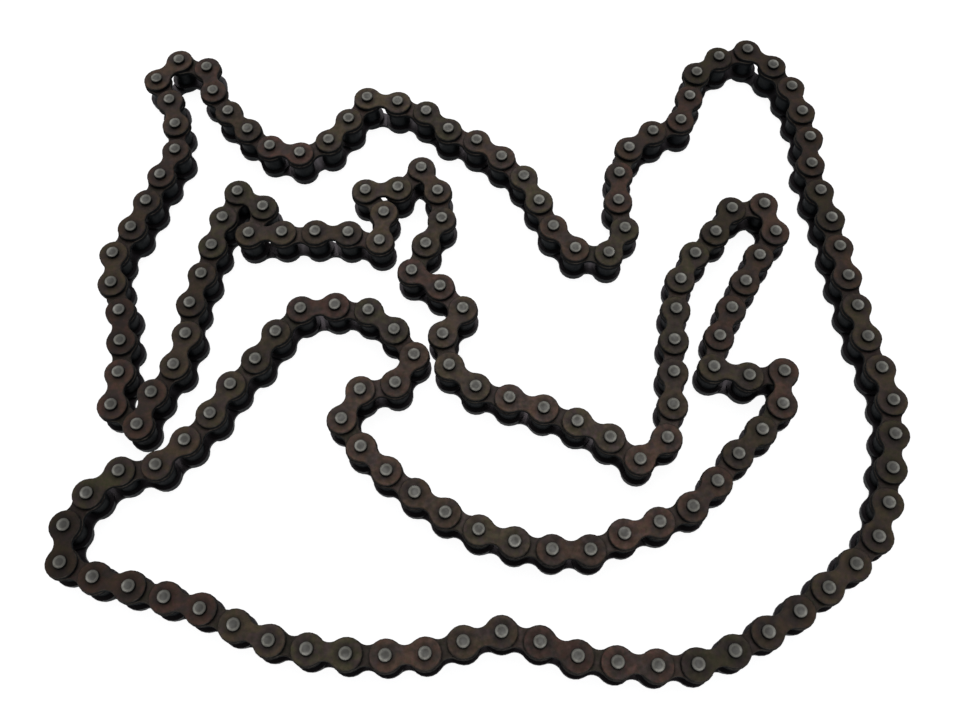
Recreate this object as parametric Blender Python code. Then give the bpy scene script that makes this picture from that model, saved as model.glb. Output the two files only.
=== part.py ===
"""Endless riveted roller chain of 166 pitches, lying on its side in the loop it was dropped in.

Every pin stands upright (+Z) and the lower pin ends rest on z = 0. Pins are numbered 0 to 165
along the loop. A link has the number of its first pin: odd links are outer links (two plates
pressed on two pins), even links are inner links (two plates pressed on two bushes, each with a
loose roller). The seven links of the right-hand finger are built piece by piece. The other links
are joined into strands, with real pins and bored ends wherever a strand or a moving link meets
the next one.
"""

from math import atan2, ceil, cos, pi, radians, sin

import bmesh
import bpy
import numpy as np
from mathutils import Matrix, Vector

# ---------------------------------------------------------------- driving dimensions, in metres
PITCH = 0.0127                  # pin centre to pin centre
INNER_WIDTH = 0.00775           # between the two inner plates of a link
ROLLER_DIAMETER = 0.00851
BUSH_DIAMETER = 0.00645
PIN_DIAMETER = 0.00445
PIN_LENGTH = 0.0169             # over both riveted ends
OUTER_PLATE_HEIGHT = 0.0108
INNER_PLATE_HEIGHT = 0.0113
OUTER_WAIST = 0.0060            # width across the middle of an outer plate
INNER_WAIST = 0.0066
OUTER_PLATE_THICKNESS = 0.0016
INNER_PLATE_THICKNESS = 0.0016

PLATE_GAP = 0.0001              # play between an inner plate and the outer plate beside it
ROLLER_END_PLAY = 0.0002        # between a roller's end and the inner plate
RUNNING_CLEARANCE = 0.00003     # radial, pin in bush and bush in roller
PRESS_CLEARANCE = 0.00003       # radial gap left where one piece is pressed into another

DETAIL_SIDES = 10               # facets round the single pins, bushes and rollers
PLAIN_SIDES = 8                 # facets round the same shapes at a strand's ends
COLUMN_SIDES = 6                # facets round the rollers inside a strand

# ---------------------------------------------------------------- levels, measured from mid height
INNER_FACE = INNER_WIDTH / 2
INNER_BACK = INNER_FACE + INNER_PLATE_THICKNESS
OUTER_FACE = INNER_BACK + PLATE_GAP
OUTER_BACK = OUTER_FACE + OUTER_PLATE_THICKNESS
PIN_END = PIN_LENGTH / 2

# ---------------------------------------------------------------- the loop
PIN_COUNT = 166

# The lie of the chain: (pin number, x, y), in pitches. The pins between two listed ones follow
# a smooth curve, and the whole loop is then settled until every link is exactly one pitch long.
ROUTE = [
    # tip at the upper left, then down and over the small hump
    (0, -9.5, 23.25), (1, -8.55, 22.9), (2, -8.3, 21.9), (3, -7.75, 21.1), (5, -6.35, 19.7),
    (6, -5.4, 19.4), (7, -4.5, 19.85), (8, -3.9, 20.6), (9, -3.3, 21.4), (10, -2.3, 21.2),
    (11, -1.45, 20.8), (12, -0.75, 20.1), (13, 0.15, 19.6), (15, 1.55, 18.2), (17, 2.35, 16.35),
    (18, 2.95, 15.55),
    # trough, and up the left leg of the arch
    (19, 3.95, 15.35), (20, 4.5, 16.2), (21, 4.4, 17.2), (22, 4.5, 18.2), (23, 4.9, 19.1),
    (24, 5.7, 19.7), (25, 6.6, 20.1), (26, 7.0, 21.0), (27, 7.35, 21.95), (28, 8.15, 22.55),
    (29, 9.1, 22.8), (30, 9.85, 22.1), (31, 10.3, 21.2),
    # the long right side
    (33, 10.55, 19.25), (34, 10.45, 18.25), (36, 10.7, 16.3), (38, 10.85, 14.3), (40, 11.05, 12.3),
    (42, 11.35, 10.35), (44, 10.95, 8.35), (46, 10.2, 6.55), (48, 8.7, 5.25), (50, 7.0, 4.2),
    # the bottom, right to left
    (52, 5.15, 3.5), (54, 3.15, 3.6), (55, 2.15, 3.8), (57, 0.3, 4.4), (59, -1.65, 4.0),
    (61, -3.65, 4.05), (63, -5.6, 4.45), (65, -7.4, 5.3), (67, -9.3, 5.95), (69, -11.15, 6.65),
    # left end, and up over the middle hump
    (70, -11.2, 7.65), (71, -10.7, 8.5), (72, -9.9, 9.1), (73, -8.95, 9.25), (75, -7.55, 10.7),
    (76, -7.05, 11.55), (77, -6.4, 12.3), (78, -5.85, 13.15), (79, -5.15, 13.9), (80, -4.15, 13.95),
    (81, -3.2, 13.75), (82, -2.45, 13.1), (83, -1.85, 12.25), (84, -2.4, 11.4),
    # fold, and the lower inner line
    (85, -3.4, 11.25), (86, -3.9, 10.4), (87, -3.35, 9.55), (89, -1.9, 8.2), (91, -0.2, 7.1),
    (93, 1.7, 6.5), (94, 2.7, 6.45), (95, 3.6, 6.85), (97, 5.5, 7.5), (99, 6.9, 8.95),
    (101, 8.35, 10.35), (102, 8.5, 11.35), (103, 7.5, 11.25), (104, 6.6, 11.5),
    # the right-hand finger
    (105, 6.85, 12.5), (107, 7.85, 14.25), (108, 8.4, 15.1), (109, 8.95, 15.9), (110, 8.8, 16.85),
    (111, 7.8, 16.75), (112, 7.15, 15.95), (113, 6.5, 15.25), (114, 5.95, 14.4), (116, 5.55, 12.4),
    # the upper inner line, running left
    (118, 5.3, 10.45), (119, 5.05, 9.5), (120, 4.25, 8.85), (121, 3.5, 9.55), (123, 1.7, 10.5),
    (125, -0.15, 11.2), (126, -0.9, 11.9), (127, -1.05, 12.9), (128, -0.45, 13.7),
    (129, -1.1, 14.45), (130, -1.9, 15.0), (131, -1.5, 15.9), (132, -1.0, 16.8),
    (133, -1.1, 17.75), (134, -1.6, 18.65), (135, -2.35, 17.95), (136, -3.3, 17.9),
    (137, -2.75, 17.05), (138, -2.9, 16.1), (139, -3.85, 16.4), (141, -5.8, 16.5),
    # the left-hand folds, and back up to the tip
    (142, -6.8, 16.5), (143, -6.45, 17.45), (144, -7.25, 18.0), (145, -7.65, 17.1),
    (147, -8.15, 15.15), (148, -8.4, 14.2), (149, -8.45, 13.2), (150, -8.7, 12.25), (151, -9.25, 11.4),
    (152, -9.55, 10.45), (153, -10.35, 11.05), (154, -10.25, 12.05), (156, -10.45, 14.05),
    (157, -10.8, 15.0), (158, -10.85, 16.0), (159, -10.4, 16.9), (161, -9.7, 18.75),
    (162, -9.35, 19.7), (163, -9.4, 20.65), (164, -9.7, 21.6), (165, -10.15, 22.45),
]

# Links that swing together in pairs and so lie exactly parallel: (link going, link coming back).
# Each pair makes one parallelogram in the closed loop.
PARALLEL_LINKS = [(107, 113), (108, 111), (20, 34), (21, 33), (163, 1), (77, 83)]

# What each stretch of the loop is built as: (name, first pin, last pin).
RESTING_STRANDS = [
    ("strand_upper_hump", 2, 20),
    ("strand_right_side", 35, 46),
    ("strand_bottom_right", 46, 56),
    ("strand_bottom_left", 56, 66),
    ("strand_left_corner", 66, 77),
    ("strand_inner_curve_lower", 84, 96),
    ("strand_inner_curve_right", 96, 107),
    ("strand_inner_line_right", 114, 126),
    ("strand_inner_line_left", 126, 138),
    ("strand_left_folds_inner", 138, 150),
    ("strand_left_folds_outer", 150, 163),
]
MOVING_STRANDS = [
    ("arch_strand", 22, 33),
    ("hump_strand", 78, 83),
    ("tip_strand", 164, 1),
]
MOVING_LINKS = [20, 21, 33, 34, 77, 83, 163, 1]
SINGLE_PIECE_LINKS = [107, 108, 109, 110, 111, 112, 113]

# ---------------------------------------------------------------- finishes: colour, roughness, metallic
FINISHES = {
    "oxide_plate": ((0.046, 0.036, 0.028, 1.0), 0.48, 0.75),
    "oxide_strand": ((0.040, 0.032, 0.026, 1.0), 0.50, 0.75),
    "dark_roller": ((0.022, 0.022, 0.024, 1.0), 0.40, 0.85),
    "dark_bush": ((0.030, 0.029, 0.030, 1.0), 0.42, 0.85),
    "grey_pin": ((0.170, 0.168, 0.155, 1.0), 0.38, 0.90),
}


# ---------------------------------------------------------------- laying the loop
def curve_through_route():
    """Every pin's rough place, from a smooth closed curve through the listed ones."""
    places = np.zeros((PIN_COUNT, 2))
    listed = [(number, np.array((x, y))) for number, x, y in ROUTE]
    total = len(listed)
    for here in range(total):
        before, start, end, after = (listed[(here + step) % total] for step in (-1, 0, 1, 2))
        span = (end[0] - start[0]) % PIN_COUNT
        span_before = (start[0] - before[0]) % PIN_COUNT
        span_after = (after[0] - end[0]) % PIN_COUNT
        leaving = (end[1] - before[1]) / (span + span_before) * span
        arriving = (after[1] - start[1]) / (span + span_after) * span
        for step in range(span):
            t = step / span
            places[(start[0] + step) % PIN_COUNT] = (
                (2 * t**3 - 3 * t**2 + 1) * start[1] + (t**3 - 2 * t**2 + t) * leaving
                + (3 * t**2 - 2 * t**3) * end[1] + (t**3 - t**2) * arriving
            )
    return places


def settle(places):
    """Move the pins as little as possible until every link is one pitch and every pair parallel."""
    numbers = np.arange(PIN_COUNT)
    following = (numbers + 1) % PIN_COUNT
    for _ in range(30):
        links = places[following] - places
        lengths = np.linalg.norm(links, axis=1)
        slopes = np.zeros((PIN_COUNT + 2 * len(PARALLEL_LINKS), PIN_COUNT, 2))
        errors = np.zeros(len(slopes))
        slopes[numbers, following] = links / lengths[:, None]
        slopes[numbers, numbers] = -links / lengths[:, None]
        errors[:PIN_COUNT] = lengths - 1.0
        for row, (going, returning) in enumerate(PARALLEL_LINKS):
            for axis in (0, 1):
                line = PIN_COUNT + 2 * row + axis
                for link in (going, returning):
                    slopes[line, (link + 1) % PIN_COUNT, axis] += 1.0
                    slopes[line, link, axis] -= 1.0
                errors[line] = links[going, axis] + links[returning, axis]
        flat = slopes.reshape(len(slopes), -1)
        places = places - np.linalg.lstsq(flat, errors, rcond=1e-9)[0].reshape(-1, 2)
    return places


PINS = settle(curve_through_route()) * PITCH


def pin_place(number):
    return Vector((*PINS[number % PIN_COUNT], 0.0))


def link_direction(number):
    return pin_place(number + 1) - pin_place(number)


def link_angle(number):
    direction = link_direction(number)
    return atan2(direction.y, direction.x)


# ---------------------------------------------------------------- outlines
def arc(centre, radius, start, end, count):
    """Points along an arc, both ends included."""
    steps = np.linspace(start, end, count)
    return [(centre[0] + radius * cos(angle), centre[1] + radius * sin(angle)) for angle in steps]


def circle(centre, radius, sides):
    return arc(centre, radius, 0.0, 2 * pi, sides + 1)[:-1]


def clear_of(radius, clearance, sides):
    """Corner radius of a many-sided hole whose flats clear a round piece."""
    return (radius + clearance) / cos(pi / sides)


def plate_outline(height, waist, end_points, waist_points):
    """A figure-eight plate from one pin at the origin to the next at +X: round ends, hollow waist."""
    end_radius = height / 2
    drop = end_radius - waist / 2
    hollow_centre = ((PITCH / 2) ** 2 - drop**2) / (2 * drop)
    hollow_radius = hollow_centre - waist / 2
    meet = atan2(hollow_centre, PITCH / 2)
    middle = PITCH / 2
    lower = arc((middle, -hollow_centre), hollow_radius, pi - meet, meet, waist_points + 2)
    upper = arc((middle, hollow_centre), hollow_radius, -meet, meet - pi, waist_points + 2)
    near_end = arc((0, 0), end_radius, meet, 2 * pi - meet, end_points)
    far_end = arc((PITCH, 0), end_radius, meet - pi, pi - meet, end_points)
    return near_end + lower[1:-1] + far_end + upper[1:-1]


def ribbon_outline(path):
    """The scalloped edge of a row of plates along a path of pins: up one side, back the other."""
    lobe = OUTER_PLATE_HEIGHT / 2
    waist = OUTER_WAIST / 2
    spread = radians(25)
    headings = [atan2(b[1] - a[1], b[0] - a[0]) for a, b in zip(path, path[1:])]

    def side_points(side):
        points = []
        for index, start in enumerate(path[:-1]):
            heading = headings[index]
            if index:
                turn = (heading - headings[index - 1] + pi) % (2 * pi) - pi
                facing = heading - turn / 2 + side * pi / 2
                reach = spread - side * turn / 2
                if reach < radians(4):
                    points += arc(start, waist / cos(turn / 2), facing, facing, 1)
                else:
                    count = max(2, ceil(2 * reach / radians(90)) + 1)
                    points += arc(start, lobe, facing + side * reach, facing - side * reach, count)
            middle = (np.array(start) + path[index + 1]) / 2
            points += arc(middle, waist, heading + side * pi / 2, heading + side * pi / 2, 1)
        return points

    open_angle = radians(60)
    left, right = side_points(1), side_points(-1)
    far = arc(path[-1], lobe, headings[-1] - pi + open_angle, headings[-1] + pi - open_angle, 5)
    near = arc(path[0], lobe, headings[0] + open_angle, headings[0] + 2 * pi - open_angle, 5)
    return near + right + far + left[::-1]


# ---------------------------------------------------------------- solids
def finish(name):
    """The named Principled material, made once."""
    material = bpy.data.materials.get(name)
    if material is None:
        colour, roughness, metallic = FINISHES[name]
        material = bpy.data.materials.new(name)
        material.use_nodes = True
        shader = material.node_tree.nodes["Principled BSDF"]
        shader.inputs["Base Color"].default_value = colour
        shader.inputs["Roughness"].default_value = roughness
        shader.inputs["Metallic"].default_value = metallic
        material.diffuse_color = colour
    return material


def extruded(loops, low, high):
    """A mesh from a flat outline and its holes, standing from low to high."""
    curve = bpy.data.curves.new("outline", "CURVE")
    curve.dimensions = "2D"
    curve.fill_mode = "BOTH"
    curve.extrude = (high - low) / 2
    for loop in loops:
        spline = curve.splines.new("POLY")
        spline.points.add(len(loop) - 1)
        for point, (x, y) in zip(spline.points, loop):
            point.co = (x, y, 0.0, 1.0)
        spline.use_cyclic_u = True
    holder = bpy.data.objects.new("outline", curve)
    bpy.context.scene.collection.objects.link(holder)
    bpy.context.view_layer.update()
    solid = holder.evaluated_get(bpy.context.evaluated_depsgraph_get())
    mesh = bpy.data.meshes.new_from_object(solid)
    bpy.data.objects.remove(holder)
    bpy.data.curves.remove(curve)
    work = bmesh.new()
    work.from_mesh(mesh)
    bmesh.ops.remove_doubles(work, verts=work.verts, dist=1e-6)
    bmesh.ops.translate(work, verts=work.verts, vec=(0.0, 0.0, (low + high) / 2))
    bmesh.ops.recalc_face_normals(work, faces=work.faces)
    work.to_mesh(mesh)
    work.free()
    return mesh


def cylinders(centres, radius, low, high, sides):
    """One mesh of upright cylinders, a separate one at each centre, with a corner towards +X."""
    work = bmesh.new()
    for x, y in centres:
        place = Matrix.Translation((x, y, (low + high) / 2)) @ Matrix.Rotation(-pi / 2, 4, "Z")
        bmesh.ops.create_cone(
            work, cap_ends=True, segments=sides, radius1=radius, radius2=radius,
            depth=high - low, matrix=place,
        )
    mesh = bpy.data.meshes.new("cylinders")
    work.to_mesh(mesh)
    work.free()
    return mesh


def moved(mesh, angle, place):
    """The mesh turned about Z and then moved."""
    mesh.transform(Matrix.Translation(place) @ Matrix.Rotation(angle, 4, "Z"))
    return mesh


def combined(first, others, operation="UNION"):
    """The first mesh after a Boolean with each of the others in turn."""
    base = bpy.data.objects.new("base", first)
    bpy.context.scene.collection.objects.link(base)
    for other in others:
        tool = bpy.data.objects.new("tool", other)
        tool.display_type = "WIRE"
        tool.hide_render = True
        cutter_collection.objects.link(tool)
        change = base.modifiers.new("boolean", "BOOLEAN")
        change.operation = operation
        change.object = tool
    bpy.context.view_layer.update()
    result = bpy.data.meshes.new_from_object(
        base.evaluated_get(bpy.context.evaluated_depsgraph_get())
    )
    for tool in list(cutter_collection.objects):
        bpy.data.objects.remove(tool)
    bpy.data.objects.remove(base)
    return result


def place_part(name, mesh, finish_name, pin, angle=0.0):
    """A named part with its origin on the axis of the given pin."""
    if not mesh.materials:
        mesh.materials.append(finish(finish_name))
        mesh.name = name
        mesh.shade_smooth()
        mesh.set_sharp_from_angle(angle=radians(40))
    part = bpy.data.objects.new(name, mesh)
    part.location = pin_place(pin) + CENTRE_LIFT
    part.rotation_euler.z = angle
    part_collection.objects.link(part)
    return part


CENTRE_LIFT = Vector((0.0, 0.0, PIN_END))


# ---------------------------------------------------------------- single pieces of a link
def outer_plate():
    hole = PIN_DIAMETER / 2 + PRESS_CLEARANCE
    loops = [
        plate_outline(OUTER_PLATE_HEIGHT, OUTER_WAIST, 8, 2),
        circle((0, 0), hole, DETAIL_SIDES),
        circle((PITCH, 0), hole, DETAIL_SIDES),
    ]
    return [extruded(loops, OUTER_FACE, OUTER_BACK), extruded(loops, -OUTER_BACK, -OUTER_FACE)]


def inner_plate():
    hole = BUSH_DIAMETER / 2 + PRESS_CLEARANCE
    loops = [
        plate_outline(INNER_PLATE_HEIGHT, INNER_WAIST, 8, 2),
        circle((0, 0), hole, DETAIL_SIDES),
        circle((PITCH, 0), hole, DETAIL_SIDES),
    ]
    return [extruded(loops, INNER_FACE, INNER_BACK), extruded(loops, -INNER_BACK, -INNER_FACE)]


def bush():
    bore = clear_of(PIN_DIAMETER / 2, RUNNING_CLEARANCE, DETAIL_SIDES)
    loops = [circle((0, 0), BUSH_DIAMETER / 2, DETAIL_SIDES), circle((0, 0), bore, DETAIL_SIDES)]
    return extruded(loops, -INNER_BACK, INNER_BACK)


def roller():
    bore = clear_of(BUSH_DIAMETER / 2, RUNNING_CLEARANCE, DETAIL_SIDES)
    loops = [circle((0, 0), ROLLER_DIAMETER / 2, DETAIL_SIDES), circle((0, 0), bore, DETAIL_SIDES)]
    reach = INNER_FACE - ROLLER_END_PLAY
    return extruded(loops, -reach, reach)


def pin():
    return cylinders([(0, 0)], PIN_DIAMETER / 2, -PIN_END, PIN_END, DETAIL_SIDES)


# ---------------------------------------------------------------- joined links
def joined_outer_link(pin_centres):
    """Two outer plates and the pins at the given centres as one solid."""
    outline = [plate_outline(OUTER_PLATE_HEIGHT, OUTER_WAIST, 6, 1)]
    pins = cylinders(pin_centres, PIN_DIAMETER / 2, -PIN_END, PIN_END, PLAIN_SIDES)
    plates = [extruded(outline, OUTER_FACE, OUTER_BACK), extruded(outline, -OUTER_BACK, -OUTER_FACE)]
    return combined(pins, plates)


def joined_inner_link(roller_centres):
    """Two inner plates and the bored rollers at the given centres as one solid."""
    outline = [plate_outline(INNER_PLATE_HEIGHT, INNER_WAIST, 6, 1)]
    into_plate = INNER_FACE + INNER_PLATE_THICKNESS / 2
    rollers = cylinders(roller_centres, ROLLER_DIAMETER / 2, -into_plate, into_plate, PLAIN_SIDES)
    plates = [extruded(outline, INNER_FACE, INNER_BACK), extruded(outline, -INNER_BACK, -INNER_FACE)]
    bore = clear_of(PIN_DIAMETER / 2, RUNNING_CLEARANCE, PLAIN_SIDES)
    bores = cylinders(roller_centres, bore, -PIN_END, PIN_END, PLAIN_SIDES)
    return combined(combined(rollers, plates), [bores], "DIFFERENCE")


def end_link(number, near_first_pin, origin):
    """A strand's end link, with its real pin or its bored roller at the strand's end only."""
    joined = joined_outer_link if number % 2 else joined_inner_link
    mesh = joined([(0, 0)])
    if near_first_pin:
        return moved(mesh, link_angle(number), pin_place(number) - origin)
    return moved(mesh, link_angle(number) + pi, pin_place(number + 1) - origin)


def strand(first, last):
    """Several links as one solid: scalloped ribbons over a row of rollers, and two end links."""
    origin = pin_place(first)
    links = (last - first) % PIN_COUNT
    path = [tuple((pin_place(first + step) - origin).xy) for step in range(1, links)]
    outline = [ribbon_outline(path)]
    top = extruded(outline, INNER_FACE, OUTER_BACK)
    bottom = extruded(outline, -OUTER_BACK, -INNER_FACE)
    into_plate = INNER_FACE + INNER_PLATE_THICKNESS / 2
    rollers = cylinders(path, ROLLER_DIAMETER / 2, -into_plate, into_plate, COLUMN_SIDES)
    near = end_link(first % PIN_COUNT, True, origin)
    far = end_link((last - 1) % PIN_COUNT, False, origin)
    return combined(rollers, [top, bottom, near, far])


# ---------------------------------------------------------------- building
def build_single_pieces():
    """The right-hand finger, every plate, pin, bush and roller by itself."""
    outer_top, outer_bottom = outer_plate()
    inner_top, inner_bottom = inner_plate()
    pin_mesh, bush_mesh, roller_mesh = pin(), bush(), roller()
    for number in SINGLE_PIECE_LINKS:
        angle = link_angle(number)
        if number % 2:
            place_part(f"outer_plate_{number}_top", outer_top, "oxide_plate", number, angle)
            place_part(f"outer_plate_{number}_bottom", outer_bottom, "oxide_plate", number, angle)
            for end in (number, number + 1):
                place_part(f"pin_{end}", pin_mesh, "grey_pin", end, angle)
        else:
            place_part(f"inner_plate_{number}_top", inner_top, "oxide_plate", number, angle)
            place_part(f"inner_plate_{number}_bottom", inner_bottom, "oxide_plate", number, angle)
            for end in (number, number + 1):
                place_part(f"bush_{end}", bush_mesh, "dark_bush", end, angle)
                place_part(f"roller_{end}", roller_mesh, "dark_roller", end, angle)


def build_moving_links():
    both_ends = [(0, 0), (PITCH, 0)]
    outer_mesh, inner_mesh = joined_outer_link(both_ends), joined_inner_link(both_ends)
    for number in MOVING_LINKS:
        kind, mesh = ("outer", outer_mesh) if number % 2 else ("inner", inner_mesh)
        place_part(f"{kind}_link_{number}", mesh, "oxide_plate", number, link_angle(number))


def build_strands():
    for name, first, last in RESTING_STRANDS + MOVING_STRANDS:
        place_part(name, strand(first, last), "oxide_strand", first)


def centre_on_floor():
    """Slide the whole chain so that the middle of its outline stands over the origin."""
    bpy.context.view_layer.update()
    corners = np.array([
        part.matrix_world @ vertex.co for part in part_collection.objects for vertex in part.data.vertices
    ])
    middle = (corners.min(axis=0) + corners.max(axis=0)) / 2
    for part in part_collection.objects:
        part.location.x -= middle[0]
        part.location.y -= middle[1]


for leftover in list(bpy.data.objects):
    bpy.data.objects.remove(leftover)
part_collection = bpy.data.collections.new("roller_chain")
cutter_collection = bpy.data.collections.new("cutters")
bpy.context.scene.collection.children.link(part_collection)
bpy.context.scene.collection.children.link(cutter_collection)

build_single_pieces()
build_moving_links()
build_strands()
centre_on_floor()
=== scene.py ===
"""Studio view of an endless riveted roller chain of 166 pitches, lying on its side.

Each kind of piece is modelled once: outer plate, inner plate, pin, bush and roller. Copies are
laid link by link along the loop, and ride on the body that carries their link.
"""
import random
from math import atan2, cos, pi, radians, sin

import bmesh
import bpy
import numpy as np
from mathutils import Matrix, Vector


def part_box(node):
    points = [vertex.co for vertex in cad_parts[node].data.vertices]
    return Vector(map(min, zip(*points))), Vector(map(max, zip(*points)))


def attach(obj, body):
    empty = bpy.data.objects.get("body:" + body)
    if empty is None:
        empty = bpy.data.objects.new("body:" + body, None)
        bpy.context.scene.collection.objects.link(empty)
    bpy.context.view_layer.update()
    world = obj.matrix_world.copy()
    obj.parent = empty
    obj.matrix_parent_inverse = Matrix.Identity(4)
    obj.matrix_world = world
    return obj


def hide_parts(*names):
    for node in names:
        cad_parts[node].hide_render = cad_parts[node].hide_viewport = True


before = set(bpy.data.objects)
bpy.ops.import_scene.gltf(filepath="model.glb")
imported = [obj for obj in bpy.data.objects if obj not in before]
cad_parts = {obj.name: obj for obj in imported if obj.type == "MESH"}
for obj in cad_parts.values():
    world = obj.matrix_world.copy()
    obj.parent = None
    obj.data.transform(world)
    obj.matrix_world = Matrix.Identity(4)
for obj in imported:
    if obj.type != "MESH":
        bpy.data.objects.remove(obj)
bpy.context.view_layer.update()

# ---------------------------------------------------------------- sizes, in metres
MILLIMETRE = 0.001
PITCH = 0.0127                  # pin centre to pin centre
INNER_WIDTH = 0.00775           # between the two inner plates of a link
ROLLER_DIAMETER = 0.00851
BUSH_DIAMETER = 0.00645
PIN_DIAMETER = 0.00445
OUTER_PLATE_HEIGHT = 0.0108
INNER_PLATE_HEIGHT = 0.0113
OUTER_WAIST = 0.0060
INNER_WAIST = 0.0066
PLATE_THICKNESS = 0.0016
PLATE_GAP = 0.0001              # between an inner plate and the outer plate beside it
ROLLER_END_PLAY = 0.0002
FIT = 0.00003                   # radial gap between pieces that fit into each other

PIN_SIDES = 20                  # facets round pins, rollers and plate ends
BUSH_SIDES = 16
NECK_STEPS = 3                  # edges from a plate's round end to the middle of its waist
NECK_ANGLE = radians(54)        # where the hollow side leaves the round end
PLATE_CHAMFER = 0.00028
ROLLER_CHAMFER = 0.00040
BUSH_CHAMFER = 0.00015
PIN_CHAMFER = 0.00018
DISH_WIDTH = 0.00042            # flat rim left round the shallow dish in a pin's end
DISH_DEPTH = 0.00018
DISH_FLOOR = 0.80               # the dish's floor, as a share of its rim
SMOOTH_BELOW = radians(31)      # faces that meet at a smaller angle are shaded as one

PIN_COUNT = 166
SETTLING_ROUNDS = 30            # repeats of the small correction that makes every link fit

# Where the chain lies: (pin number, x, y), in pitches. The pins between two listed ones follow
# a smooth curve, and the whole loop is then settled until every link is exactly one pitch long.
ROUTE = [
    # tip at the upper left, then down and over the small hump
    (0, -9.5, 23.25), (1, -8.55, 22.9), (2, -8.3, 21.9), (3, -7.75, 21.1), (5, -6.35, 19.7),
    (6, -5.4, 19.4), (7, -4.5, 19.85), (8, -3.9, 20.6), (9, -3.3, 21.4), (10, -2.3, 21.2),
    (11, -1.45, 20.8), (12, -0.75, 20.1), (13, 0.15, 19.6), (15, 1.55, 18.2), (17, 2.35, 16.35),
    (18, 2.95, 15.55),
    # trough, and up the left leg of the arch
    (19, 3.95, 15.35), (20, 4.5, 16.2), (21, 4.4, 17.2), (22, 4.5, 18.2), (23, 4.9, 19.1),
    (24, 5.7, 19.7), (25, 6.6, 20.1), (26, 7.0, 21.0), (27, 7.35, 21.95), (28, 8.15, 22.55),
    (29, 9.1, 22.8), (30, 9.85, 22.1), (31, 10.3, 21.2),
    # the long right side
    (33, 10.55, 19.25), (34, 10.45, 18.25), (36, 10.7, 16.3), (38, 10.85, 14.3), (40, 11.05, 12.3),
    (42, 11.35, 10.35), (44, 10.95, 8.35), (46, 10.2, 6.55), (48, 8.7, 5.25), (50, 7.0, 4.2),
    # the bottom, right to left
    (52, 5.15, 3.5), (54, 3.15, 3.6), (55, 2.15, 3.8), (57, 0.3, 4.4), (59, -1.65, 4.0),
    (61, -3.65, 4.05), (63, -5.6, 4.45), (65, -7.4, 5.3), (67, -9.3, 5.95), (69, -11.15, 6.65),
    # left end, and up over the middle hump
    (70, -11.2, 7.65), (71, -10.7, 8.5), (72, -9.9, 9.1), (73, -8.95, 9.25), (75, -7.55, 10.7),
    (76, -7.05, 11.55), (77, -6.4, 12.3), (78, -5.85, 13.15), (79, -5.15, 13.9), (80, -4.15, 13.95),
    (81, -3.2, 13.75), (82, -2.45, 13.1), (83, -1.85, 12.25), (84, -2.4, 11.4),
    # fold, and the lower inner line
    (85, -3.4, 11.25), (86, -3.9, 10.4), (87, -3.35, 9.55), (89, -1.9, 8.2), (91, -0.2, 7.1),
    (93, 1.7, 6.5), (94, 2.7, 6.45), (95, 3.6, 6.85), (97, 5.5, 7.5), (99, 6.9, 8.95),
    (101, 8.35, 10.35), (102, 8.5, 11.35), (103, 7.5, 11.25), (104, 6.6, 11.5),
    # the right-hand finger
    (105, 6.85, 12.5), (107, 7.85, 14.25), (108, 8.4, 15.1), (109, 8.95, 15.9), (110, 8.8, 16.85),
    (111, 7.8, 16.75), (112, 7.15, 15.95), (113, 6.5, 15.25), (114, 5.95, 14.4), (116, 5.55, 12.4),
    # the upper inner line, running left
    (118, 5.3, 10.45), (119, 5.05, 9.5), (120, 4.25, 8.85), (121, 3.5, 9.55), (123, 1.7, 10.5),
    (125, -0.15, 11.2), (126, -0.9, 11.9), (127, -1.05, 12.9), (128, -0.45, 13.7),
    (129, -1.1, 14.45), (130, -1.9, 15.0), (131, -1.5, 15.9), (132, -1.0, 16.8),
    (133, -1.1, 17.75), (134, -1.6, 18.65), (135, -2.35, 17.95), (136, -3.3, 17.9),
    (137, -2.75, 17.05), (138, -2.9, 16.1), (139, -3.85, 16.4), (141, -5.8, 16.5),
    # the left-hand folds, and back up to the tip
    (142, -6.8, 16.5), (143, -6.45, 17.45), (144, -7.25, 18.0), (145, -7.65, 17.1),
    (147, -8.15, 15.15), (148, -8.4, 14.2), (149, -8.45, 13.2), (150, -8.7, 12.25), (151, -9.25, 11.4),
    (152, -9.55, 10.45), (153, -10.35, 11.05), (154, -10.25, 12.05), (156, -10.45, 14.05),
    (157, -10.8, 15.0), (158, -10.85, 16.0), (159, -10.4, 16.9), (161, -9.7, 18.75),
    (162, -9.35, 19.7), (163, -9.4, 20.65), (164, -9.7, 21.6), (165, -10.15, 22.45),
]
# Links that swing in pairs and so lie exactly parallel: (link going, link coming back).
PARALLEL_LINKS = [(107, 113), (108, 111), (20, 34), (21, 33), (163, 1), (77, 83)]

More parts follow.
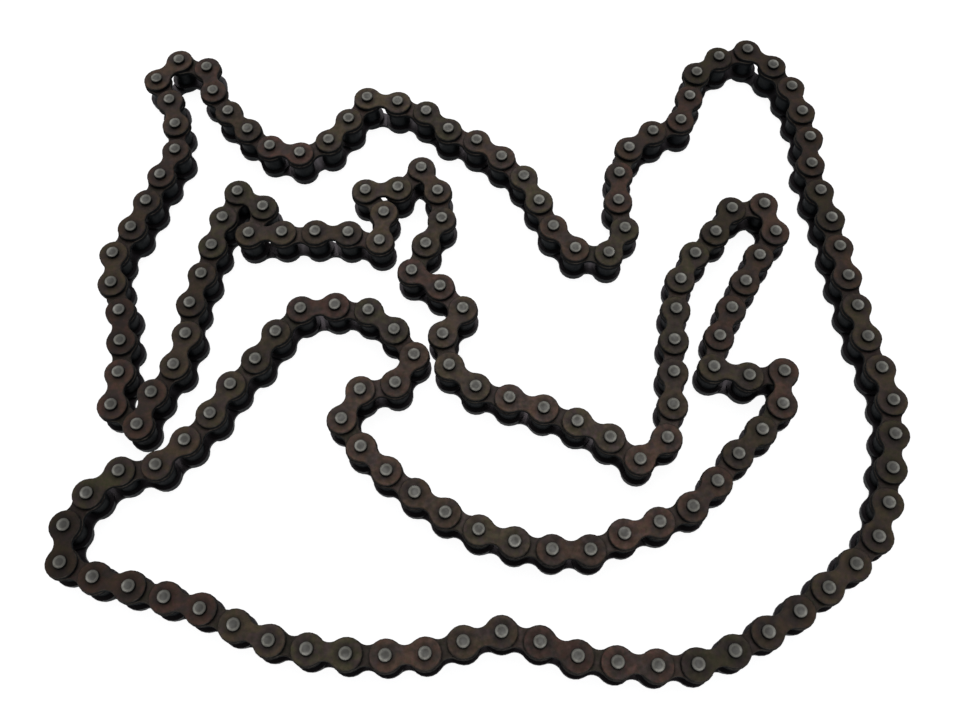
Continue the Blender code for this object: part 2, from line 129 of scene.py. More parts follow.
# (node, body, first pin, last pin) of every stretch that the frame holds as one solid.
STRETCHES = [
    ("strand_upper_hump", "chain_at_rest", 2, 20),
    ("inner_link_20", "arch_link_20", 20, 21),
    ("outer_link_21", "arch_link_21", 21, 22),
    ("arch_strand", "arch", 22, 33),
    ("outer_link_33", "arch_link_33", 33, 34),
    ("inner_link_34", "arch_link_34", 34, 35),
    ("strand_right_side", "chain_at_rest", 35, 46),
    ("strand_bottom_right", "chain_at_rest", 46, 56),
    ("strand_bottom_left", "chain_at_rest", 56, 66),
    ("strand_left_corner", "chain_at_rest", 66, 77),
    ("outer_link_77", "hump_link_77", 77, 78),
    ("hump_strand", "hump", 78, 83),
    ("outer_link_83", "hump_link_83", 83, 84),
    ("strand_inner_curve_lower", "chain_at_rest", 84, 96),
    ("strand_inner_curve_right", "chain_at_rest", 96, 107),
    ("strand_inner_line_right", "chain_at_rest", 114, 126),
    ("strand_inner_line_left", "chain_at_rest", 126, 138),
    ("strand_left_folds_inner", "chain_at_rest", 138, 150),
    ("strand_left_folds_outer", "chain_at_rest", 150, 163),
    ("outer_link_163", "tip_link_163", 163, 164),
    ("tip_strand", "tip", 164, 167),
    ("outer_link_1", "tip_link_1", 167, 168),
]
# (link, body) of every link that the frame holds piece by piece.
FINGER_LINKS = [
    (107, "finger_link_107"), (108, "finger_link_108"), (109, "finger_tip"), (110, "finger_tip"),
    (111, "finger_link_111"), (112, "finger_link_112"), (113, "finger_link_113"),
]


# ---------------------------------------------------------------- laying the loop
def curve_through_route():
    """Every pin's rough place, from a smooth closed curve through the listed ones."""
    places = np.zeros((PIN_COUNT, 2))
    listed = [(number, np.array((x, y))) for number, x, y in ROUTE]
    total = len(listed)
    for here in range(total):
        before, start, end, after = (listed[(here + step) % total] for step in (-1, 0, 1, 2))
        span = (end[0] - start[0]) % PIN_COUNT
        span_before = (start[0] - before[0]) % PIN_COUNT
        span_after = (after[0] - end[0]) % PIN_COUNT
        leaving = (end[1] - before[1]) / (span + span_before) * span
        arriving = (after[1] - start[1]) / (span + span_after) * span
        for step in range(span):
            t = step / span
            places[(start[0] + step) % PIN_COUNT] = (
                (2 * t**3 - 3 * t**2 + 1) * start[1] + (t**3 - 2 * t**2 + t) * leaving
                + (3 * t**2 - 2 * t**3) * end[1] + (t**3 - t**2) * arriving
            )
    return places


def settle(places):
    """Move the pins as little as possible until every link is one pitch and every pair parallel."""
    numbers = np.arange(PIN_COUNT)
    following = (numbers + 1) % PIN_COUNT
    for _ in range(SETTLING_ROUNDS):
        links = places[following] - places
        lengths = np.linalg.norm(links, axis=1)
        slopes = np.zeros((PIN_COUNT + 2 * len(PARALLEL_LINKS), PIN_COUNT, 2))
        errors = np.zeros(len(slopes))
        slopes[numbers, following] = links / lengths[:, None]
        slopes[numbers, numbers] = -links / lengths[:, None]
        errors[:PIN_COUNT] = lengths - 1.0
        for row, (going, returning) in enumerate(PARALLEL_LINKS):
            for axis in (0, 1):
                line = PIN_COUNT + 2 * row + axis
                for link in (going, returning):
                    slopes[line, (link + 1) % PIN_COUNT, axis] += 1.0
                    slopes[line, link, axis] -= 1.0
                errors[line] = links[going, axis] + links[returning, axis]
        flat = slopes.reshape(len(slopes), -1)
        places = places - np.linalg.lstsq(flat, errors, rcond=1e-9)[0].reshape(-1, 2)
    return places


def box_centre(node):
    low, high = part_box(node)
    return (low + high) / 2


pins = settle(curve_through_route()) * PITCH
pins += np.array(box_centre("pin_110").xy) - pins[110]

# Levels: the chain is the same above and below its mid height.
pin_low, pin_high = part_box("pin_110")
MID_HEIGHT = (pin_low.z + pin_high.z) / 2
PIN_LENGTH = pin_high.z - pin_low.z
INNER_FACE = INNER_WIDTH / 2
OUTER_FACE = INNER_FACE + PLATE_THICKNESS + PLATE_GAP


def pin_place(number):
    return Vector((*pins[number % PIN_COUNT], MID_HEIGHT))


def link_turn(number):
    along = pin_place(number + 1) - pin_place(number)
    return atan2(along.y, along.x)


# ---------------------------------------------------------------- working by hand
def deselect():
    bpy.ops.object.select_all(action="DESELECT")


def start_editing(name):
    """Names the primitive just added and opens it for editing with nothing selected."""
    piece = bpy.context.object
    piece.name = name
    piece.data.name = name
    bpy.ops.object.mode_set(mode="EDIT")
    bpy.ops.mesh.select_mode(type="EDGE")
    bpy.ops.mesh.select_all(action="DESELECT")
    return piece


def pick_edges(piece, wanted):
    """Selects the edges that pass the test, and nothing else."""
    bpy.ops.mesh.select_mode(type="EDGE")
    bpy.ops.mesh.select_all(action="DESELECT")
    mesh = bmesh.from_edit_mesh(piece.data)
    for edge in [edge for edge in mesh.edges if wanted(edge)]:
        edge.select_set(True)
    bmesh.update_edit_mesh(piece.data)


def pick_faces(piece, wanted):
    """Selects the faces that pass the test, and nothing else."""
    bpy.ops.mesh.select_mode(type="FACE")
    bpy.ops.mesh.select_all(action="DESELECT")
    mesh = bmesh.from_edit_mesh(piece.data)
    mesh.normal_update()
    for face in [face for face in mesh.faces if wanted(face)]:
        face.select_set(True)
    bmesh.update_edit_mesh(piece.data)


def middle(edge):
    return (edge.verts[0].co + edge.verts[1].co) / 2


FLAT_TILT = 0.95                # a face whose normal is more upright than this lies flat
WALL_TILT = 0.20                # and one less upright than this is a wall; a rim is in between


def is_flat(face):
    return abs(face.normal.z) > FLAT_TILT


def stop_editing(piece):
    """Makes every face point outwards, shades the round sides smooth, marks rims and walls, and
    lays the UV map "across", which holds the piece's own x and y in millimetres."""
    bpy.ops.mesh.select_mode(type="FACE")
    bpy.ops.mesh.select_all(action="SELECT")
    bpy.ops.mesh.normals_make_consistent(inside=False)
    bpy.ops.object.mode_set(mode="OBJECT")
    bpy.ops.object.shade_smooth_by_angle(angle=SMOOTH_BELOW)
    rim = piece.data.attributes.new("rim", "FLOAT", "FACE")
    wall = piece.data.attributes.new("wall", "FLOAT", "FACE")
    tilts = [abs(face.normal.z) for face in piece.data.polygons]
    rim.data.foreach_set("value", [float(WALL_TILT < tilt < FLAT_TILT) for tilt in tilts])
    wall.data.foreach_set("value", [float(tilt <= WALL_TILT) for tilt in tilts])
    across = piece.data.uv_layers.new(name="across")
    for loop in piece.data.loops:
        across.data[loop.index].uv = piece.data.vertices[loop.vertex_index].co.xy / MILLIMETRE
    piece.select_set(False)


# ---------------------------------------------------------------- one of each piece
def model_plate(name, height, waist, hole_radius):
    """A figure-eight side plate round two holes, its outward edge broken by a small chamfer.

    The near half is drawn out of a ring round the hole, then mirrored at the middle of the link.
    The plate lies from z = 0 to its thickness, with its outward face up.
    """
    end_radius = height / 2
    drop = end_radius - waist / 2
    hollow_centre = ((PITCH / 2) ** 2 - drop**2) / (2 * drop)
    hollow_radius = hollow_centre - waist / 2
    hollow_angle = pi / 2 - atan2(hollow_centre, PITCH / 2)
    near_pin = Vector((-PITCH / 2, 0, 0))

    deselect()
    bpy.ops.mesh.primitive_circle_add(vertices=PIN_SIDES, radius=hole_radius, location=near_pin)
    bpy.ops.object.transform_apply(location=True, rotation=False, scale=False)
    plate = start_editing(name)

    # a flat ring, from the edge of the hole out to the round end
    bpy.ops.mesh.select_all(action="SELECT")
    bpy.ops.mesh.extrude_region_move()
    grow = end_radius / hole_radius
    bpy.ops.transform.resize(value=(grow, grow, 1), center_override=near_pin)

    # the neck, drawn out step by step to the waist
    def faces_the_neck(edge):
        out = middle(edge) - near_pin
        return len(edge.link_faces) == 1 and out.length > 1.5 * hole_radius \
            and abs(atan2(out.y, out.x)) < NECK_ANGLE

    pick_edges(plate, faces_the_neck)
    half_width = end_radius * sin(NECK_ANGLE)
    for step in range(1, NECK_STEPS + 1):
        lean = hollow_angle * (1 - step / NECK_STEPS)
        station = Vector((-hollow_radius * sin(lean), 0, 0))
        new_half_width = hollow_centre - hollow_radius * cos(lean)
        bpy.ops.mesh.extrude_region_move()
        bpy.ops.transform.resize(value=(0, new_half_width / half_width, 1), center_override=station)
        half_width = new_half_width
    bpy.ops.object.mode_set(mode="OBJECT")

    # the far half
    mirror = plate.modifiers.new("far half", "MIRROR")
    mirror.use_axis = (True, False, False)
    mirror.merge_threshold = 0.00001
    bpy.ops.object.modifier_apply(modifier=mirror.name)

    # thickness, then each flat side cleaned up into two round ends and the neck between them
    bpy.ops.object.mode_set(mode="EDIT")
    bpy.ops.mesh.select_all(action="SELECT")
    bpy.ops.mesh.extrude_region_move(TRANSFORM_OT_translate={"value": (0, 0, PLATE_THICKNESS)})
    bpy.ops.mesh.select_all(action="SELECT")
    bpy.ops.mesh.normals_make_consistent(inside=False)

    def is_round_end(face):
        centre = face.calc_center_median()
        return abs(atan2(centre.y, PITCH / 2 - abs(centre.x))) > NECK_ANGLE

    pick_faces(plate, lambda face: is_flat(face) and is_round_end(face))
    bpy.ops.mesh.dissolve_faces()
    pick_faces(plate, lambda face: is_flat(face) and len(face.verts) == 4)
    bpy.ops.mesh.dissolve_faces()

    # the chamfer round the outward edge
    def is_outward_edge(edge):
        if len(edge.link_faces) != 2 or middle(edge).z < 0.9 * PLATE_THICKNESS:
            return False
        clear = min((middle(edge).xy - Vector((x, 0))).length for x in (-PITCH / 2, PITCH / 2))
        return clear > 1.2 * hole_radius and edge.calc_face_angle(0) > radians(60)

    pick_edges(plate, is_outward_edge)
    bpy.ops.mesh.bevel(offset=PLATE_CHAMFER, segments=1, affect="EDGES")
    stop_editing(plate)
    return plate


def model_pin():
    """A pin with chamfered, lightly dished ends, standing on z = 0."""
    deselect()
    half = PIN_LENGTH / 2
    bpy.ops.mesh.primitive_cylinder_add(
        vertices=PIN_SIDES, radius=PIN_DIAMETER / 2, depth=PIN_LENGTH, location=(0, 0, half))
    bpy.ops.object.transform_apply(location=True, rotation=False, scale=False)
    pin = start_editing("pin")
    pick_edges(pin, lambda edge: any(is_flat(face) for face in edge.link_faces))
    bpy.ops.mesh.bevel(offset=PIN_CHAMFER, segments=1, affect="EDGES")
    pick_faces(pin, is_flat)
    bpy.ops.mesh.inset(thickness=DISH_WIDTH, use_individual=True)
    shrink = (half - DISH_DEPTH) / half
    bpy.ops.transform.resize(value=(DISH_FLOOR, DISH_FLOOR, shrink), center_override=(0, 0, half))
    stop_editing(pin)
    return pin


def model_sleeve(name, diameter, bore_radius, length, sides, chamfer):
    """A bush or a roller: a tube round the origin, centred on z = 0, its outer rims chamfered."""
    deselect()
    bpy.ops.mesh.primitive_cylinder_add(vertices=sides, radius=diameter / 2, depth=length)
    sleeve = start_editing(name)
    pick_edges(sleeve, lambda edge: any(is_flat(face) for face in edge.link_faces))
    bpy.ops.mesh.bevel(offset=chamfer, segments=1, affect="EDGES")
    pick_faces(sleeve, is_flat)
    bpy.ops.mesh.inset(thickness=diameter / 2 - chamfer - bore_radius, use_individual=True)
    bpy.ops.mesh.bridge_edge_loops()
    stop_editing(sleeve)
    return sleeve


outer_plate = model_plate("outer_plate", OUTER_PLATE_HEIGHT, OUTER_WAIST, PIN_DIAMETER / 2 + FIT)
inner_plate = model_plate("inner_plate", INNER_PLATE_HEIGHT, INNER_WAIST, BUSH_DIAMETER / 2 + FIT)
pin = model_pin()
bush = model_sleeve("bush", BUSH_DIAMETER, PIN_DIAMETER / 2 + FIT,
                    INNER_WIDTH + 2 * PLATE_THICKNESS, BUSH_SIDES, BUSH_CHAMFER)
roller = model_sleeve("roller", ROLLER_DIAMETER, BUSH_DIAMETER / 2 + FIT,
                      INNER_WIDTH - 2 * ROLLER_END_PLAY, PIN_SIDES, ROLLER_CHAMFER)


# ---------------------------------------------------------------- finishes: shared effects
def new_group(name, inputs, outputs):
    """An empty shader node group with its sockets: (name, kind, value) in, (name, kind) out."""
    group = bpy.data.node_groups.new(name, "ShaderNodeTree")
    for label, kind, value in inputs:
        socket = group.interface.new_socket(label, in_out="INPUT", socket_type=kind)
        socket.default_value = value
    for label, kind in outputs:
        group.interface.new_socket(label, in_out="OUTPUT", socket_type=kind)
    return group, group.nodes.new("NodeGroupInput"), group.nodes.new("NodeGroupOutput")


def add(tree, kind, settings=None, values=None):
    """A node with its settings and the values of its unlinked sockets."""
    node = tree.nodes.new(kind)
    for name, value in (settings or {}).items():
        setattr(node, name, value)
    for socket, value in (values or {}).items():
        node.inputs[socket].default_value = value
    return node


def math_node(tree, operation, first, second, clamp=False):
    """A Math node; first and second are sockets or plain numbers."""
    node = add(tree, "ShaderNodeMath", {"operation": operation, "use_clamp": clamp})
    for place, value in enumerate((first, second)):
        if isinstance(value, bpy.types.NodeSocket):
            tree.links.new(value, node.inputs[place])
        else:
            node.inputs[place].default_value = value
    return node.outputs[0]


def mix_colour(tree, amount, first, second, blend="MIX"):
    """A colour Mix node; each input is a socket, a number or a colour."""
    node = add(tree, "ShaderNodeMix", {"data_type": "RGBA", "blend_type": blend})
    sockets = [socket for socket in node.inputs if socket.enabled]
    for place, value in zip(sockets, (amount, first, second)):
        if isinstance(value, bpy.types.NodeSocket):
            tree.links.new(value, place)
        elif isinstance(value, (int, float)):
            place.default_value = value
        else:
            place.default_value = (*value, 1.0)
    return next(socket for socket in node.outputs if socket.enabled)


def mix_value(tree, amount, first, second):
    """A plain number between first, a socket, and second."""
    node = add(tree, "ShaderNodeMix")
    tree.links.new(amount, node.inputs["Factor"])
    tree.links.new(first, node.inputs["A"])
    node.inputs["B"].default_value = second
    return node.outputs["Result"]


def ramp(tree, value, low, high):
    """Spreads the values between low and high over 0 to 1."""
    node = add(tree, "ShaderNodeMapRange", {"interpolation_type": "SMOOTHSTEP"})
    node.inputs["From Min"].default_value = low
    node.inputs["From Max"].default_value = high
    tree.links.new(value, node.inputs["Value"])
    return node.outputs["Result"]


def spread(tree, value, low, high):
    """Turns a mask from 0 to 1 into a value from low to high."""
    node = add(tree, "ShaderNodeMapRange", values={"To Min": low, "To Max": high})
    tree.links.new(value, node.inputs["Value"])
    return node.outputs["Result"]


def tint(tree, colour, by):
    """The colour multiplied by another colour, a socket or a plain number."""
    return mix_colour(tree, 1.0, colour, by, "MULTIPLY")


def noise(tree, scale, detail, roughness=0.5):
    """Noise through the solid; its scale is a socket or a plain number."""
    place = add(tree, "ShaderNodeTexCoord")
    node = add(tree, "ShaderNodeTexNoise", values={"Detail": detail, "Roughness": roughness})
    tree.links.new(place.outputs["Object"], node.inputs["Vector"])
    if isinstance(scale, bpy.types.NodeSocket):
        tree.links.new(scale, node.inputs["Scale"])
    else:
        node.inputs["Scale"].default_value = scale
    return node.outputs["Fac"]


def attribute(tree, name):
    return add(tree, "ShaderNodeAttribute", {"attribute_name": name}).outputs["Fac"]


def make_oxide_patches():
    """Cloudy patches a few millimetres across, where the oxide came out redder or greener."""
    group, given, result = new_group(
        "oxide patches", [("Size", "NodeSocketFloat", 260.0)],
        [("Patches", "NodeSocketFloat"), ("Mottle", "NodeSocketFloat")])
    size = given.outputs["Size"]
    coarse = noise(group, size, 3.0, 0.55)
    fine = noise(group, math_node(group, "MULTIPLY", size, 4.3), 4.0, 0.6)
    group.links.new(ramp(group, coarse, 0.36, 0.66), result.inputs["Patches"])
    group.links.new(ramp(group, fine, 0.30, 0.72), result.inputs["Mottle"])
    return group


def make_rim_wear_and_highlight():
    """Where a chamfered rim is paler, partly rubbed and partly a painted highlight: nearly all round,
    broken by small gaps.
    """
    group, given, result = new_group(
        "rubbed rims", [("Amount", "NodeSocketFloat", 1.0)], [("Wear And Highlight", "NodeSocketFloat")])
    rubbed = ramp(group, noise(group, 700.0, 3.0), 0.30, 0.62)
    worn_and_lit = math_node(group, "MULTIPLY", attribute(group, "rim"), rubbed)
    worn_and_lit = math_node(group, "MULTIPLY", worn_and_lit, given.outputs["Amount"], clamp=True)
    group.links.new(worn_and_lit, result.inputs["Wear And Highlight"])
    return group


def make_painted_light_masks():
    """Masks for painted shade and painted light: black painted shade down the upright sides, and
    violet painted light on the plates underneath.
    """
    group, given, result = new_group(
        "old oil",
        [("Lit Below", "NodeSocketFloat", 0.0075), ("Lower Light", "NodeSocketFloat", 0.85),
         ("Black", "NodeSocketFloat", 0.95)],
        [("Deep", "NodeSocketFloat"), ("Sides", "NodeSocketFloat")])
    place = add(group, "ShaderNodeTexCoord")
    split = add(group, "ShaderNodeSeparateXYZ")
    group.links.new(place.outputs["Object"], split.inputs[0])
    under = math_node(group, "LESS_THAN", split.outputs["Z"], given.outputs["Lit Below"])
    deep = math_node(group, "MULTIPLY", under, given.outputs["Lower Light"])
    sides = math_node(group, "MULTIPLY", attribute(group, "wall"), given.outputs["Black"])
    group.links.new(deep, result.inputs["Deep"])
    group.links.new(sides, result.inputs["Sides"])
    return group


def make_fine_grain():
    """The fine tooth of blasted and oxidised steel."""
    group, given, result = new_group(
        "fine grain", [("Size", "NodeSocketFloat", 3200.0)],
        [("Height", "NodeSocketFloat"), ("Gloss Change", "NodeSocketFloat")])
    group.links.new(noise(group, given.outputs["Size"], 3.0, 0.65), result.inputs["Height"])
    group.links.new(ramp(group, noise(group, 520.0, 3.0), 0.3, 0.7), result.inputs["Gloss Change"])
    return group


def make_pin_distance():
    """Millimetres from the nearest pin's centre, measured across the face of the piece."""
    group, given, result = new_group(
        "distance from the pin", [("Half Pitch", "NodeSocketFloat", PITCH / 2 / MILLIMETRE)],
        [("Distance", "NodeSocketFloat")])
    across = add(group, "ShaderNodeUVMap", {"uv_map": "across"})
    split = add(group, "ShaderNodeSeparateXYZ")
    group.links.new(across.outputs["UV"], split.inputs[0])
    along = math_node(group, "ABSOLUTE", split.outputs["X"], 0.0)
    along = math_node(group, "SUBTRACT", along, given.outputs["Half Pitch"])
    beside = split.outputs["Y"]
    squares = [math_node(group, "MULTIPLY", side, side) for side in (along, beside)]
    apart = math_node(group, "SQRT", math_node(group, "ADD", *squares), 0.0)
    group.links.new(apart, result.inputs["Distance"])
    return group


oxide_patches = make_oxide_patches()
pin_distance = make_pin_distance()
rim_wear_and_highlight = make_rim_wear_and_highlight()
side_shade_and_lower_light = make_painted_light_masks()
fine_grain = make_fine_grain()


def place_group(tree, group, values=None):
    node = add(tree, "ShaderNodeGroup", {"node_tree": group})
    for socket, value in (values or {}).items():
        node.inputs[socket].default_value = value
    return node


def new_finish(name, metallic, specular):
    """A named material, its shader and its tree."""
    material = bpy.data.materials.new(name)
    material.use_nodes = True
    tree = material.node_tree
    shader = tree.nodes["Principled BSDF"]
    shader.inputs["Metallic"].default_value = metallic
    shader.inputs["Specular IOR Level"].default_value = specular
    return material, tree, shader


def add_grain(tree, shader, strength, size):
    grain = place_group(tree, fine_grain, {"Size": size})
    bump = add(tree, "ShaderNodeBump", values={"Strength": strength, "Distance": 0.00004})
    tree.links.new(grain.outputs["Height"], bump.inputs["Height"])
    tree.links.new(bump.outputs["Normal"], shader.inputs["Normal"])
    return grain


# Colours, as red, green and blue from 0 to 1
CLOUD_BROWN = (0.037, 0.024, 0.022)
MOTTLE_OLIVE = (0.74, 0.92, 0.74)
MOTTLE_ROSE = (1.10, 1.04, 1.14)
# painted light: the brighter violet of the lower plates' lit faces
VIOLET_PAINTED_LIGHT = (0.062, 0.054, 0.062)
# painted shade down the plates' upright sides, its blue tint a painted reflection
PLATE_SIDE_SHADE = (0.0040, 0.0065, 0.0085)
# rim colours of plates and sleeves, partly rubbed wear and partly painted highlight
PLATE_RIM_WEAR_AND_HIGHLIGHT = (0.080, 0.069, 0.057)
SLEEVE_RIM_WEAR_AND_HIGHLIGHT = (0.050, 0.050, 0.052)
PIN_DARKER = (0.142, 0.139, 0.126)
PIN_PALER = (0.172, 0.168, 0.154)
PIN_STAIN = (0.112, 0.106, 0.092)
# the pins' rim colour, partly rubbed wear and partly painted highlight
PIN_RIM_WEAR_AND_HIGHLIGHT = (0.240, 0.235, 0.215)
# painted shade down the pins' upright sides, its blue tint a painted reflection
PIN_SIDE_SHADE = (0.007, 0.010, 0.012)
DULL_DISH = (0.80, 0.80, 0.82)
# the ring, partly a riveting mark and partly a painted highlight
RIVET_RING_AND_HIGHLIGHT = (1.50, 1.50, 1.48)

# Where marks lie, in millimetres from the pin's centre: (where it starts, where it is complete)
# painted contact shadow round each pin's hole
PIN_CONTACT_SHADOW = (2.2, 2.75)         # the dark line round each pin's hole
DISH_EDGE = (0.9, 1.5)
RING_INSIDE = (1.2, 1.6)
RING_OUTSIDE = (2.3, 1.9)


def make_oxide_plate(name, olive, red, grime_and_shade_ends):
    """Brown oxide on the plates: each link its own shade, cloudy, darker round the pins with grime and
    painted shade, with a painted contact shadow round each pin, violet painted light on the plates
    underneath, paler towards the rubbed edge with a painted highlight there too, and black painted
    shade down the sides."""
    material, tree, shader = new_finish(name, 0.55, 0.35)
    patches = place_group(tree, oxide_patches, {"Size": 230.0})
    painted_shade_and_light = place_group(tree, side_shade_and_lower_light)
    rubbed_and_lit = place_group(tree, rim_wear_and_highlight, {"Amount": 0.8})
    away = place_group(tree, pin_distance).outputs["Distance"]

    colour = mix_colour(tree, attribute(tree, "warmth"), olive, red)
    colour = mix_colour(tree, patches.outputs["Patches"], colour, CLOUD_BROWN)
    colour = tint(tree, colour, spread(tree, attribute(tree, "tone"), 0.77, 1.33))
    colour = tint(tree, colour, mix_colour(tree, patches.outputs["Mottle"], MOTTLE_OLIVE, MOTTLE_ROSE))
    # painted light: the plates underneath turned brighter and violet
    colour = mix_colour(tree, painted_shade_and_light.outputs["Deep"], colour, VIOLET_PAINTED_LIGHT)
    # darker round the pins and lighter further off: grime, and painted shade from the pin heads and
    # the outer plates
    colour = tint(tree, colour, spread(tree, ramp(tree, away, *grime_and_shade_ends), 0.62, 1.18))
    # painted contact shadow: a dark line round each pin
    colour = tint(tree, colour, spread(tree, ramp(tree, away, *PIN_CONTACT_SHADOW), 0.45, 1.0))
    # painted shade: black down the upright sides
    colour = mix_colour(tree, painted_shade_and_light.outputs["Sides"], colour, PLATE_SIDE_SHADE)
    # paler rims: rubbed wear and painted highlight
    colour = mix_colour(tree, rubbed_and_lit.outputs["Wear And Highlight"], colour, PLATE_RIM_WEAR_AND_HIGHLIGHT)
    tree.links.new(colour, shader.inputs["Base Color"])

    grain = add_grain(tree, shader, 0.35, 2600.0)
    gloss = spread(tree, grain.outputs["Gloss Change"], 0.42, 0.58)
    gloss = mix_value(tree, painted_shade_and_light.outputs["Sides"], gloss, 0.85)
    gloss = mix_value(tree, painted_shade_and_light.outputs["Deep"], gloss, 0.30)
    tree.links.new(gloss, shader.inputs["Roughness"])
    return material


def make_dark_steel(name, colour, sheen_colour, roughness):
    """Oiled, hardened steel that hardly sees light: rollers and bushes. The rollers' near-black colour
    is painted shade as well as oiled steel.
    """
    material, tree, shader = new_finish(name, 0.5, 0.3)
    patches = place_group(tree, oxide_patches, {"Size": 300.0})
    rubbed_and_lit = place_group(tree, rim_wear_and_highlight, {"Amount": 0.25})
    base = mix_colour(tree, patches.outputs["Patches"], colour, sheen_colour)
    # paler rims: rubbed wear and painted highlight
    base = mix_colour(tree, rubbed_and_lit.outputs["Wear And Highlight"], base, SLEEVE_RIM_WEAR_AND_HIGHLIGHT)
    tree.links.new(base, shader.inputs["Base Color"])
    grain = add_grain(tree, shader, 0.2, 3600.0)
    gloss = spread(tree, grain.outputs["Gloss Change"], roughness, roughness + 0.15)
    tree.links.new(gloss, shader.inputs["Roughness"])
    return material


def make_pin_steel():
    """Bare grey steel on the pin ends: a bright ring round a duller dish, the ring partly a riveting
    mark and partly a painted highlight, a paler rim of rubbed wear and painted highlight, and black
    painted shade down the sides.
    """
    material, tree, shader = new_finish("grey pin steel", 0.75, 0.5)
    patches = place_group(tree, oxide_patches, {"Size": 520.0})
    painted_shade_and_light = place_group(tree, side_shade_and_lower_light)
    rubbed_and_lit = place_group(tree, rim_wear_and_highlight, {"Amount": 0.5})
    away = place_group(tree, pin_distance, {"Half Pitch": 0.0}).outputs["Distance"]

    colour = mix_colour(tree, attribute(tree, "tone"), PIN_DARKER, PIN_PALER)
    stain = math_node(tree, "MULTIPLY", patches.outputs["Patches"], 0.5)
    colour = mix_colour(tree, stain, colour, PIN_STAIN)
    colour = mix_colour(tree, ramp(tree, away, *DISH_EDGE), tint(tree, colour, DULL_DISH), colour)
    inside, outside = ramp(tree, away, *RING_INSIDE), ramp(tree, away, *RING_OUTSIDE)
    ring = math_node(tree, "MULTIPLY", inside, outside)
    # bright ring: partly a riveting mark, partly a painted highlight
    colour = mix_colour(tree, ring, colour, tint(tree, colour, RIVET_RING_AND_HIGHLIGHT))
    # paler rim: rubbed wear and painted highlight
    colour = mix_colour(tree, rubbed_and_lit.outputs["Wear And Highlight"], colour, PIN_RIM_WEAR_AND_HIGHLIGHT)
    # painted shade: black down the pin's upright sides
    colour = mix_colour(tree, painted_shade_and_light.outputs["Sides"], colour, PIN_SIDE_SHADE)
    tree.links.new(colour, shader.inputs["Base Color"])

    grain = add_grain(tree, shader, 0.6, 1500.0)
    gloss = spread(tree, grain.outputs["Gloss Change"], 0.44, 0.60)
    tree.links.new(gloss, shader.inputs["Roughness"])
    return material


# The inner plates' colours are darker than the outer plates' as painted shade, and their grime and
# painted shade start where the outer plates' round ends stop.
FINISHES = {
    "outer_plate": make_oxide_plate(
        "brown oxide outer plate", (0.045, 0.036, 0.019), (0.066, 0.031, 0.024), (2.4, 4.7)),
    "inner_plate": make_oxide_plate(
        "brown oxide inner plate", (0.026, 0.021, 0.013), (0.037, 0.020, 0.017), (5.2, 6.4)),
    "pin": make_pin_steel(),
    "bush": make_dark_steel("oiled bush", (0.014, 0.018, 0.020), (0.024, 0.026, 0.026), 0.42),
    # the rollers' near-black colour is painted shade as well as oiled steel
    "roller": make_dark_steel("oiled roller", (0.005, 0.008, 0.011), (0.010, 0.013, 0.014), 0.44),
}
for model in (outer_plate, inner_plate, pin, bush, roller):
    model.data.materials.append(FINISHES[model.name])

# ---------------------------------------------------------------- laying the pieces along the loop
SHADE_SEED = 428
draw = random.Random(SHADE_SEED)
link_shades = [(draw.random(), draw.random()) for _ in range(PIN_COUNT)]
pin_shades = [(draw.random(), draw.random()) for _ in range(PIN_COUNT)]

object_collection = bpy.data.collections.new("roller chain")
bpy.context.scene.collection.children.link(object_collection)


def lay(model, place, shade):
    """A copy of a piece with its own mesh, put in its place and given its own shade."""
    mesh = model.data.copy()
    mesh.transform(place)
    for name, value in zip(("tone", "warmth"), shade):
        values = mesh.attributes.new(name, "FLOAT", "FACE")
        values.data.foreach_set("value", [value] * len(mesh.polygons))
    copy = bpy.data.objects.new(model.name + "_copy", mesh)
    object_collection.objects.link(copy)
    return copy


def at_pin(number, spin, height=0.0):
    """The place of a pin, bush or roller, turned with its link and moved up by height."""
    place = Matrix.Translation(pin_place(number) + Vector((0, 0, height)))
    return place @ Matrix.Rotation(spin, 4, "Z")


def on_link(number, level, upper):
    """The place of a plate in a link: face outwards, on the upper or the lower side."""
    centre = (pin_place(number) + pin_place(number + 1)) / 2
    place = Matrix.Translation(centre) @ Matrix.Rotation(link_turn(number), 4, "Z")
    if not upper:
        place = place @ Matrix.Rotation(pi, 4, "X")
    return place @ Matrix.Translation((0, 0, level))


def pieces_of_link(number):
    """(kind, label, copy) of every piece that belongs to a link, odd links being outer ones."""
    shade = link_shades[number % PIN_COUNT]
    turn = link_turn(number)
    is_outer = number % 2 == 1
    plate, level = (outer_plate, OUTER_FACE) if is_outer else (inner_plate, INNER_FACE)
    made = [(plate.name, side, lay(plate, on_link(number, level, side == "upper"), shade))
            for side in ("upper", "lower")]
    for at in (number, number + 1):
        label = str(at % PIN_COUNT)
        if is_outer:
            own_shade = pin_shades[at % PIN_COUNT]
            made.append(("pin", label, lay(pin, at_pin(at, turn, -PIN_LENGTH / 2), own_shade)))
        else:
            made += [(sleeve.name, label, lay(sleeve, at_pin(at, turn), shade))
                     for sleeve in (bush, roller)]
    return made


def joined(copies, name):
    """Several copies as one object."""
    deselect()
    for copy in copies:
        copy.select_set(True)
    bpy.context.view_layer.objects.active = copies[0]
    if len(copies) > 1:
        bpy.ops.object.join()
    copies[0].name = name
    copies[0].data.name = name
    return copies[0]


PLURALS = {"outer_plate": "outer_plates", "inner_plate": "inner_plates", "pin": "pins",
           "bush": "bushes", "roller": "rollers"}

for node, body, first, last in STRETCHES:
    made = [piece for number in range(first, last) for piece in pieces_of_link(number)]
    for kind in PLURALS:
        copies = [copy for made_kind, _, copy in made if made_kind == kind]
        if copies:
            piece = joined(copies, f"{node}.{PLURALS[kind]}")
            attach(piece, body)
            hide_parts(node)

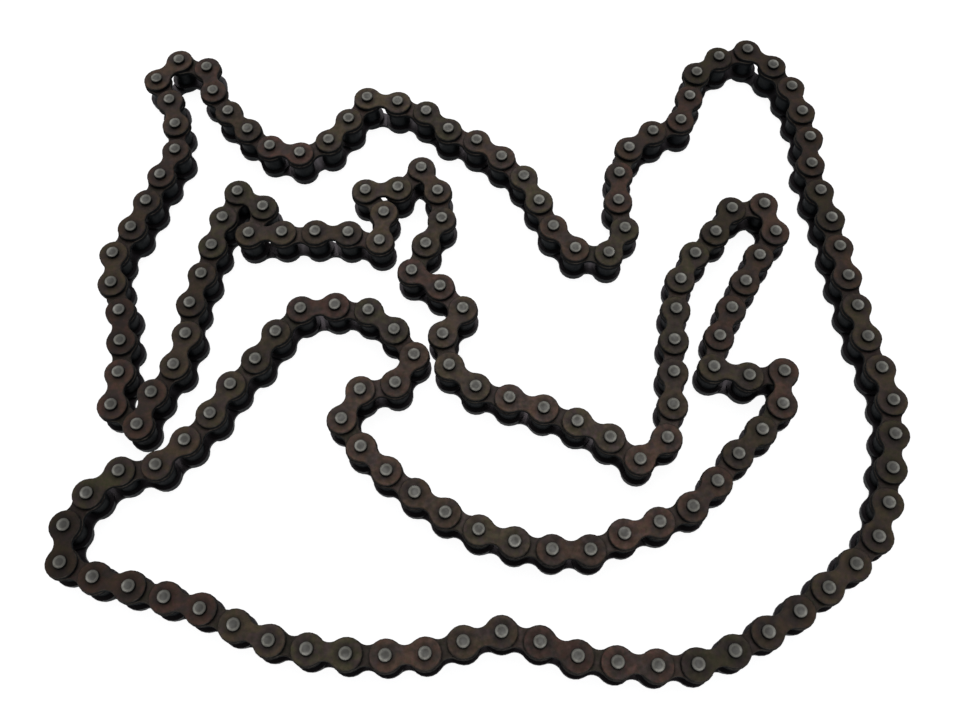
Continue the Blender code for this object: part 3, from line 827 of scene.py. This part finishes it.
for number, body in FINGER_LINKS:
    for kind, label, copy in pieces_of_link(number):
        if kind in ("outer_plate", "inner_plate"):
            node = f"{kind}_{number}_{'top' if label == 'upper' else 'bottom'}"
            piece = joined([copy], f"{kind}_{number}.{label}")
        else:
            node = f"{kind}_{label}"
            piece = joined([copy], f"{kind}_{label}.turned")
        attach(piece, f"roller_{label}_body" if kind == "roller" else body)
        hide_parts(node)

for model in (outer_plate, inner_plate, pin, bush, roller):
    bpy.data.objects.remove(model)

# ---------------------------------------------------------------- floor, light and camera
FLOOR_SIZE = 8.0
FLOOR_DROP = 0.0001             # keeps the floor just clear of the pin ends
PAPER = (0.30, 0.30, 0.31, 1)
FLOOR_GLOW = (0.30, 0.93)       # as the chain sees it, and as the camera does

deselect()
bpy.ops.mesh.primitive_plane_add(size=FLOOR_SIZE, location=(0, 0, -FLOOR_DROP))
floor = bpy.context.object
floor.name = "floor"
floor_finish = bpy.data.materials.new("white sweep")
floor_finish.use_nodes = True
tree = floor_finish.node_tree
paper = tree.nodes["Principled BSDF"]
paper.inputs["Base Color"].default_value = PAPER
paper.inputs["Roughness"].default_value = 0.9
paper.inputs["Specular IOR Level"].default_value = 0.0
glow = add(tree, "ShaderNodeEmission", values={"Color": (1, 1, 1, 1)})
both = add(tree, "ShaderNodeAddShader")
path = add(tree, "ShaderNodeLightPath")
tree.links.new(spread(tree, path.outputs["Is Camera Ray"], *FLOOR_GLOW), glow.inputs["Strength"])
tree.links.new(paper.outputs[0], both.inputs[0])
tree.links.new(glow.outputs[0], both.inputs[1])
tree.links.new(both.outputs[0], tree.nodes["Material Output"].inputs["Surface"])
floor.data.materials.append(floor_finish)

world = bpy.data.worlds.new("pale room")
world.use_nodes = True
sky = world.node_tree.nodes["Background"]
sky.inputs["Color"].default_value = (0.96, 0.98, 1.0, 1)
sky.inputs["Strength"].default_value = 0.18
bpy.context.scene.world = world


def soft_box(name, place, size, power):
    """A square soft box aimed at the middle of the chain."""
    light = bpy.data.lights.new(name, "AREA")
    light.size = size
    light.energy = power
    holder = bpy.data.objects.new(name, light)
    bpy.context.scene.collection.objects.link(holder)
    holder.location = place
    holder.rotation_euler = (-Vector(place)).to_track_quat("-Z", "Y").to_euler()
    return holder


soft_box("overhead soft box", (0.05, 0.25, 1.05), 0.8, 3.7)
soft_box("back soft box", (-0.20, 0.95, 0.80), 0.7, 2.0)
soft_box("front soft box", (0.10, -0.95, 0.55), 0.7, 1.36)

CAMERA_PLACE = (-0.00114, -0.17249, 0.35433)
CAMERA_TURN = (24.600, 0.853, -1.945)       # degrees round x, y and z
camera = bpy.data.cameras.new("camera")
camera.sensor_width = 36.0
camera.lens = 38.81
camera.clip_start = 0.01
holder = bpy.data.objects.new("camera", camera)
bpy.context.scene.collection.objects.link(holder)
holder.location = CAMERA_PLACE
holder.rotation_euler = [radians(angle) for angle in CAMERA_TURN]
bpy.context.scene.camera = holder
bpy.context.scene.view_settings.view_transform = "Standard"
